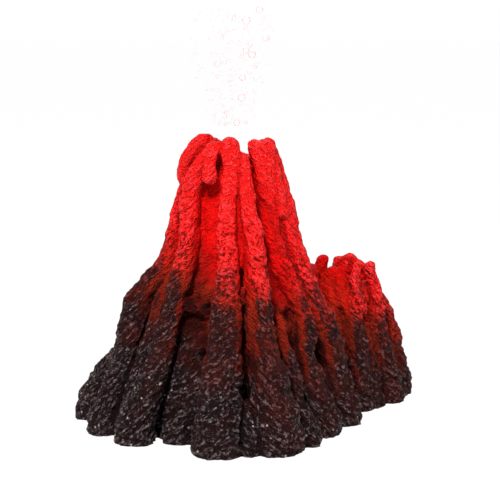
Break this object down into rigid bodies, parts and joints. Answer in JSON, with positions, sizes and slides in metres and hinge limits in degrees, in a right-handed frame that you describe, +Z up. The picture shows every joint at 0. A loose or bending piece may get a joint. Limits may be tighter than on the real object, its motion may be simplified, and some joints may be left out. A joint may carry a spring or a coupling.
{
  "type": "bubbling ornament",
  "caption": "Hollow cast volcano for an aquarium floor with a lit air bubbler under it; bubbles rise out of the main crater.",
  "frame": {"origin": "centre of the bounding box on the floor of the tank", "axes": "+Z up, -Y towards the front, +X towards the side cone"},
  "size_m": [0.1682, 0.1295, 0.1384],
  "materials": {
    "painted_resin": "cast resin rock, charcoal foot fading up to bright red",
    "cup_rubber": "milky clear soft rubber",
    "black_plastic": "fine-textured moulded black plastic",
    "gasket_rubber": "matt black rubber",
    "board": "green lacquered board",
    "red_lamp": "clear red epoxy",
    "chip": "matt black with tinned ends",
    "clear_plastic": "clear polished plastic",
    "porous_stone": "blue-grey sintered grit",
    "screw_steel": "stainless steel"
  },
  "bodies": {
    "suction_base": {"suction_cup": "cup_rubber"},
    "bubbler": {"lower_case": "black_plastic", "air_inlet": "black_plastic", "cable_gland": "gasket_rubber", "circuit_board": "board", "led_1": "red_lamp", "led_2": "red_lamp", "led_3": "red_lamp", "led_4": "red_lamp", "led_5": "red_lamp", "led_6": "red_lamp", "resistor_1": "chip", "resistor_2": "chip", "lens": "clear_plastic", "lens_seal": "gasket_rubber", "stone_seal": "gasket_rubber", "case_screw_1": "screw_steel", "case_screw_2": "screw_steel", "case_screw_3": "screw_steel"},
    "air_stone": {"air_stone": "porous_stone"},
    "ornament": {"volcano_shell": "painted_resin"}
  },
  "joints": [
    {"name": "bubbler_turn", "type": "hinge", "parent": "suction_base", "child": "bubbler", "pos_m": [-0.0086, -0.0022, 0], "axis": [0, 0, 1], "range_deg": [-45, 45]},
    {"name": "stone_pull", "type": "slide", "parent": "bubbler", "child": "air_stone", "axis": [0, 0, 1], "range_m": [0, 0.012]},
    {"name": "ornament_lift", "type": "slide", "parent": "suction_base", "child": "ornament", "axis": [0, 0, 1], "range_m": [0, 0.06]}
  ]
}
